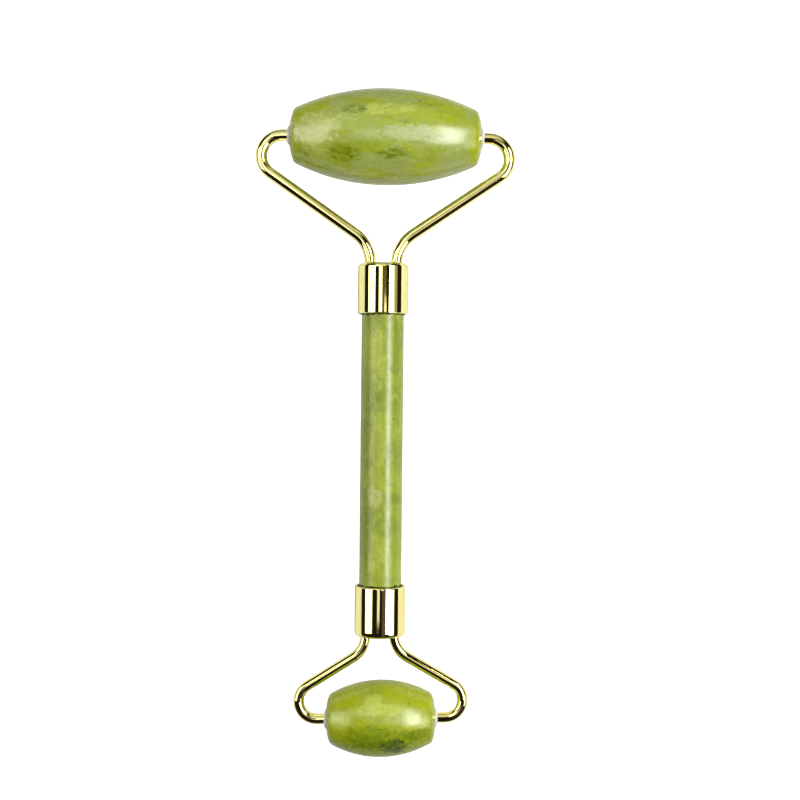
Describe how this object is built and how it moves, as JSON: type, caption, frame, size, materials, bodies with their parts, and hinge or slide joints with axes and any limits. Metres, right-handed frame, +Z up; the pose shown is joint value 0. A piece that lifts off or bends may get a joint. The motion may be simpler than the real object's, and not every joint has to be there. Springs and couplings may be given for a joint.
{
  "type": "face massage roller",
  "caption": "Face roller: a polished stone handle with a barrel-shaped stone roller on a bent-wire yoke at each end, one large and one small.",
  "frame": {"origin": "on the table under the middle of the whole roller, which lies on its two stone rollers", "axes": "+X across, along the roller axles to within 1.3 degrees, +Y along the handle towards the large roller, +Z up from the table"},
  "size_m": [0.056, 0.1446, 0.0208],
  "materials": {
    "jade_stone": "polished",
    "gold_plated_metal": "polished",
    "bush_plastic": "satin",
    "cement": "satin"
  },
  "bodies": {
    "handle_frame": {"handle_stone": "jade_stone", "large_ferrule": "gold_plated_metal", "small_ferrule": "gold_plated_metal", "large_cement_fill": "cement", "small_cement_fill": "cement", "large_left_arm": "gold_plated_metal", "large_right_arm": "gold_plated_metal", "small_left_arm": "gold_plated_metal", "small_right_arm": "gold_plated_metal"},
    "large_roller": {"large_roller_stone": "jade_stone", "large_left_bush": "bush_plastic", "large_right_bush": "bush_plastic"},
    "small_roller": {"small_roller_stone": "jade_stone", "small_left_bush": "bush_plastic", "small_right_bush": "bush_plastic"}
  },
  "joints": [
    {"name": "large_roller_spin", "type": "hinge", "parent": "handle_frame", "child": "large_roller", "pos_m": [0.00003, 0.06189, 0.0104], "axis": [1, -0.0075, -0.0001], "continuous": true},
    {"name": "small_roller_spin", "type": "hinge", "parent": "handle_frame", "child": "small_roller", "pos_m": [0.00024, -0.06399, 0.0083], "axis": [0.9997, 0.0227, 0.0004], "continuous": true}
  ]
}
